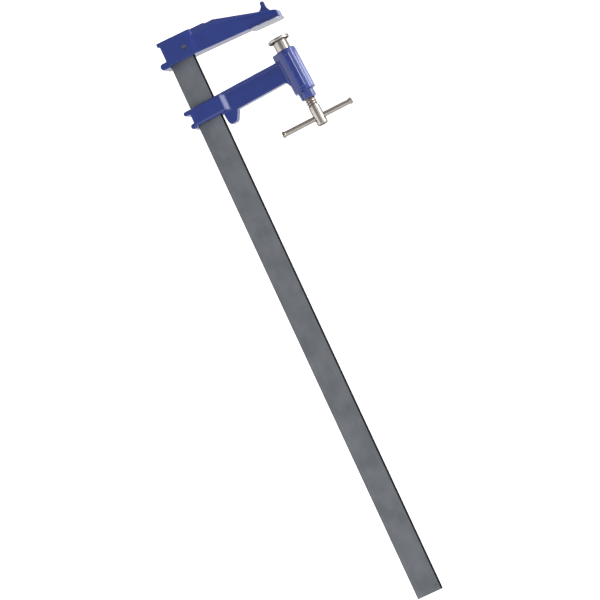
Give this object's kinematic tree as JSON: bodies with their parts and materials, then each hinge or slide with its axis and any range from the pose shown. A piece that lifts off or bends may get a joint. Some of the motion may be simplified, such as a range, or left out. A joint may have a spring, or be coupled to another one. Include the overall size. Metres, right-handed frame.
{
  "type": "quick release bar clamp",
  "caption": "Quick release bar clamp: blue cast fixed jaw and sliding arm on a flat steel rail, with a keyed screw-driven piston, a pressure disc and a sliding tommy bar.",
  "frame": {"origin": "the point of the fixed jaw's clamping face that the clamping axis meets", "axes": "+X along the rail from the fixed jaw to the free end, +Y from the rail out past the clamping axis, +Z square to the rail's broad side, towards the side that shows the keyway"},
  "size_m": [0.6951, 0.1809, 0.0317],
  "materials": {
    "rail_steel": "hot-rolled flat bar with a dark phosphated surface",
    "blue_enamel": "glossy blue enamel on a steel casting",
    "bright_steel": "ground and bright plated",
    "pin_steel": "plain drawn steel"
  },
  "bodies": {
    "frame": {"rail": "rail_steel", "fixed_jaw": "blue_enamel", "jaw_pin": "pin_steel"},
    "arm": {"sliding_arm": "blue_enamel", "guide_key": "pin_steel", "spindle_nut": "blue_enamel"},
    "piston": {"piston": "bright_steel", "pressure_disc": "bright_steel", "thrust_ball": "bright_steel", "retaining_pin_near": "pin_steel", "retaining_pin_far": "pin_steel"},
    "spindle": {"spindle": "bright_steel"},
    "tommy_bar": {"tommy_bar": "bright_steel"}
  },
  "joints": [
    {"name": "arm_slide", "type": "slide", "parent": "frame", "child": "arm", "axis": [1, 0, 0], "range_m": [-0.0083, 0.5833]},
    {"name": "piston_slide", "type": "slide", "parent": "arm", "child": "piston", "axis": [-0.9987, -0.0506, 0], "range_m": [-0.0121, 0.0099]},
    {"name": "spindle_turn", "type": "hinge", "parent": "piston", "child": "spindle", "pos_m": [0.03575, 0.00181, 0], "axis": [-0.9987, -0.0506, 0], "range_deg": [-1452, 1188]},
    {"name": "tommy_slide", "type": "slide", "parent": "spindle", "child": "tommy_bar", "axis": [0.0486, -0.96, 0.2756], "range_m": [-0.0362, 0.0314]}
  ],
  "couplings": [
    {"joint": "piston_slide", "follows": "spindle_turn", "m_per_rad": 0.00047746}
  ]
}
